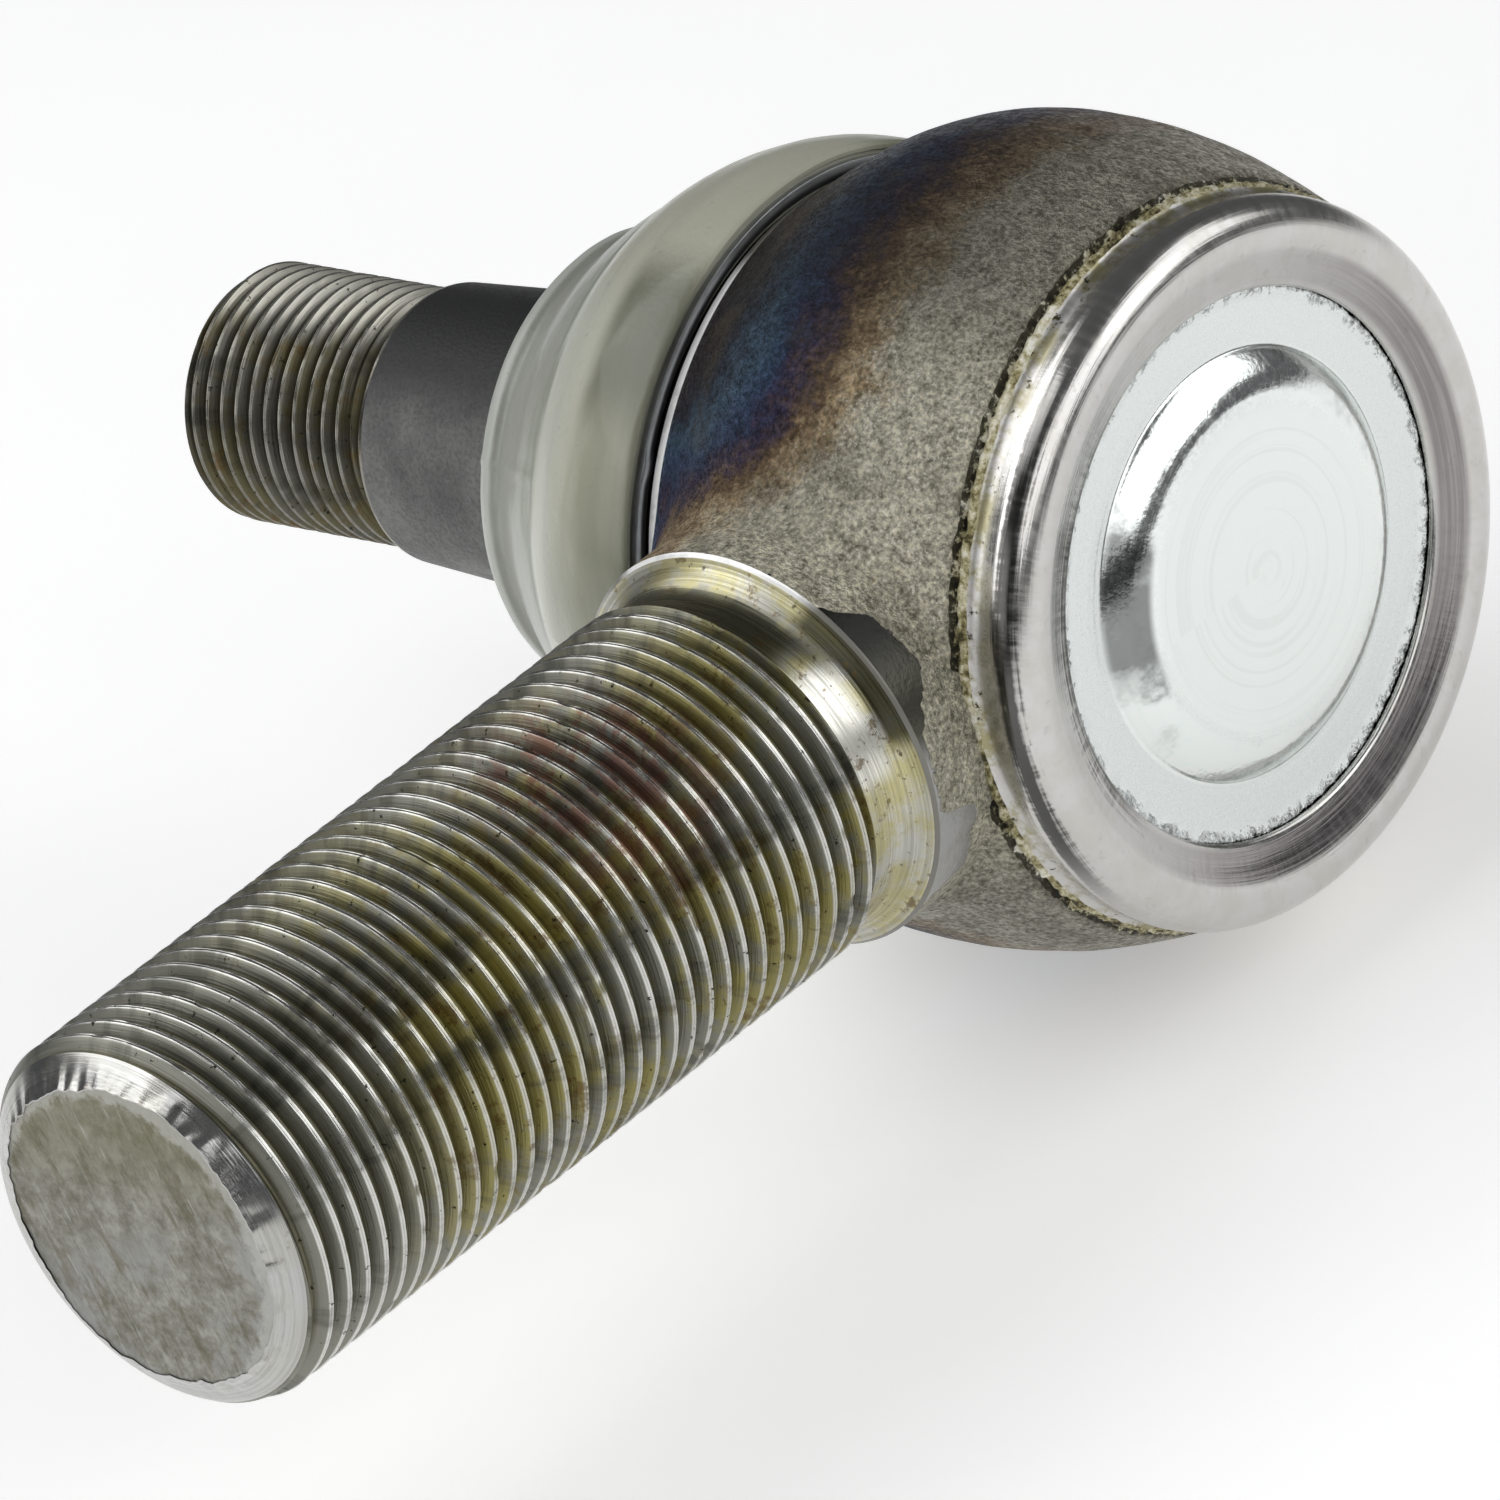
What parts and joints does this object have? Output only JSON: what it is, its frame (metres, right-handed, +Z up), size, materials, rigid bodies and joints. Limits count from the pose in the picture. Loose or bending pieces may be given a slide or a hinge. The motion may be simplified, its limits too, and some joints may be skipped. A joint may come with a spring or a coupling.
{
  "type": "rod end bearing",
  "caption": "Ball joint rod end: forged eye with an externally threaded stem, tapered ball stud with a threaded end, pressed cover and dust boot.",
  "frame": {"origin": "centre of the flat pad on the cover, on the stud's axis", "axes": "+X out of the cover along the stud's axis, -Y out of the threaded stem's end along its axis, +Z up; the stem and the stud lie level"},
  "size_m": [0.101, 0.1337, 0.0618],
  "materials": {
    "forged_steel": "shot-blasted forged steel, heat-tinted at the mouth, machined bright on the stem and the rolled lip",
    "phosphated_steel": "dark grey matt phosphate",
    "zinc_plate": "bright bluish zinc plating on a pressing",
    "spring_steel": "dark oiled spring steel",
    "seat_polymer": "moulded bearing plastic",
    "boot_rubber": "milky translucent moulded elastomer, satin",
    "seal_rubber": "matt black rubber"
  },
  "bodies": {
    "housing_body": {"housing": "forged_steel", "mouth_seat": "seat_polymer", "cover_seat": "seat_polymer", "disc_spring": "spring_steel", "cover_plate": "zinc_plate", "cover_seal_ring": "seal_rubber", "boot_clamp_ring": "spring_steel"},
    "boot_middle": {"boot_bellows": "boot_rubber"},
    "boot_end": {"boot_neck": "boot_rubber", "boot_neck_ring": "spring_steel"},
    "stud": {"ball_stud": "phosphated_steel"}
  },
  "joints": [
    {"name": "stud_swing", "type": "hinge", "parent": "housing_body", "child": "boot_middle", "pos_m": [-0.0215, 0, 0], "axis": [0, 0, 1], "range_deg": [-18, 18], "deforming": ["boot_bellows"]},
    {"name": "stud_tilt", "type": "hinge", "parent": "boot_middle", "child": "boot_end", "pos_m": [-0.0215, 0, 0], "axis": [0, 1, 0], "range_deg": [-18, 18], "deforming": ["boot_neck"]},
    {"name": "stud_spin", "type": "hinge", "parent": "boot_end", "child": "stud", "pos_m": [-0.0215, 0, 0], "axis": [1, 0, 0], "continuous": true}
  ]
}
